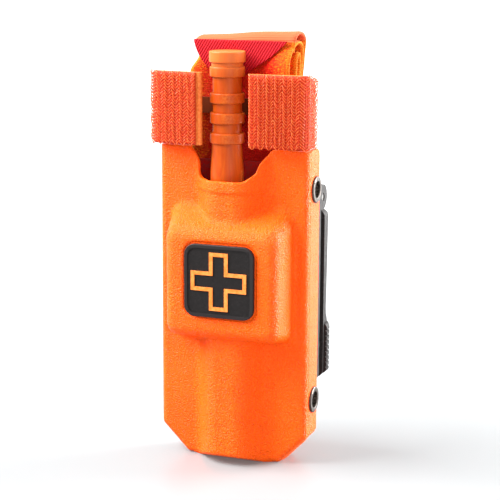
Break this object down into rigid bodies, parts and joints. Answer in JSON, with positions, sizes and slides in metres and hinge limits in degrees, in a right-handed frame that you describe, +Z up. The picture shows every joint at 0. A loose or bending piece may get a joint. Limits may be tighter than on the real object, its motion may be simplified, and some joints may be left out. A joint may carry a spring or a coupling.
{
  "type": "tourniquet in belt case",
  "caption": "Windlass tourniquet folded into a rigid belt case: ribbed rod in a hook-taped holder, loop-faced band, cross badge and a hinged, latching belt clip.",
  "frame": {"origin": "middle of the flat foot that the case stands on, half way through the depth of its side walls", "axes": "+Z up along the windlass, -Y out of the case's badge side, +Y towards the belt clip, +X to the right as the badge is faced"},
  "size_m": [0.0596, 0.0466, 0.1526],
  "materials": {
    "case_shell": "orange, pebbled, satin",
    "gunmetal": "dark gunmetal, satin",
    "adhesive": "clear film",
    "badge_rubber": "charcoal, matte",
    "badge_mark": "orange, matte",
    "clip_nylon": "dark grey, moulded",
    "black_rubber": "matte",
    "black_steel": "black oxide",
    "spring_steel": "bright",
    "windlass_plastic": "orange, smooth moulded",
    "hook_tape": "salmon orange hooks",
    "plate_plastic": "dark red brown, smooth",
    "inner_webbing": "flat woven ribbon",
    "loop_webbing": "orange loop pile",
    "tab_webbing": "crimson twill"
  },
  "bodies": {
    "case": {"front_shell": "case_shell", "back_shell": "case_shell", "side_eyelets_right": "gunmetal", "side_eyelets_left": "gunmetal", "badge_adhesive": "adhesive", "badge_pad": "badge_rubber", "badge_cross": "badge_mark", "belt_clip_base": "clip_nylon", "rubber_washers": "black_rubber", "binding_posts": "black_steel", "clip_screws": "black_steel", "hinge_pin": "spring_steel", "latch_bar": "clip_nylon", "belt_spacer": "clip_nylon", "spacer_pins": "spring_steel"},
    "belt_leaf": {"belt_clip_leaf": "clip_nylon", "leaf_cover": "clip_nylon", "cover_screws": "black_steel", "lever_spring_right": "spring_steel", "lever_spring_left": "spring_steel"},
    "lever_right": {"release_lever_right": "clip_nylon"},
    "lever_left": {"release_lever_left": "clip_nylon"},
    "slider": {"lock_slider": "clip_nylon"},
    "tourniquet": {"windlass_rod": "windlass_plastic", "windlass_clip": "windlass_plastic", "hook_patch_left": "hook_tape", "hook_patch_right": "hook_tape", "stabilization_plate": "plate_plastic", "internal_band": "inner_webbing", "routing_buckle": "windlass_plastic", "outer_band": "loop_webbing", "band_tip_tab": "tab_webbing"}
  },
  "joints": [
    {"name": "tourniquet_draw", "type": "slide", "parent": "case", "child": "tourniquet", "axis": [0, 0, 1], "range_m": [0, 0.115]},
    {"name": "belt_leaf_swing", "type": "hinge", "parent": "case", "child": "belt_leaf", "pos_m": [0, 0.01785, 0.0948], "axis": [1, 0, 0], "range_deg": [0, 100]},
    {"name": "release_lever_right_press", "type": "slide", "parent": "belt_leaf", "child": "lever_right", "axis": [-1, 0, 0], "range_m": [0, 0.0025], "stiffness_N_per_m": 500, "springref_m": -0.001, "deforming": ["lever_spring_right"]},
    {"name": "release_lever_left_press", "type": "slide", "parent": "belt_leaf", "child": "lever_left", "axis": [1, 0, 0], "range_m": [0, 0.0025], "stiffness_N_per_m": 500, "springref_m": -0.001, "deforming": ["lever_spring_left"]},
    {"name": "lock_slide", "type": "slide", "parent": "belt_leaf", "child": "slider", "axis": [0, 0, -1], "range_m": [0, 0.004]}
  ]
}
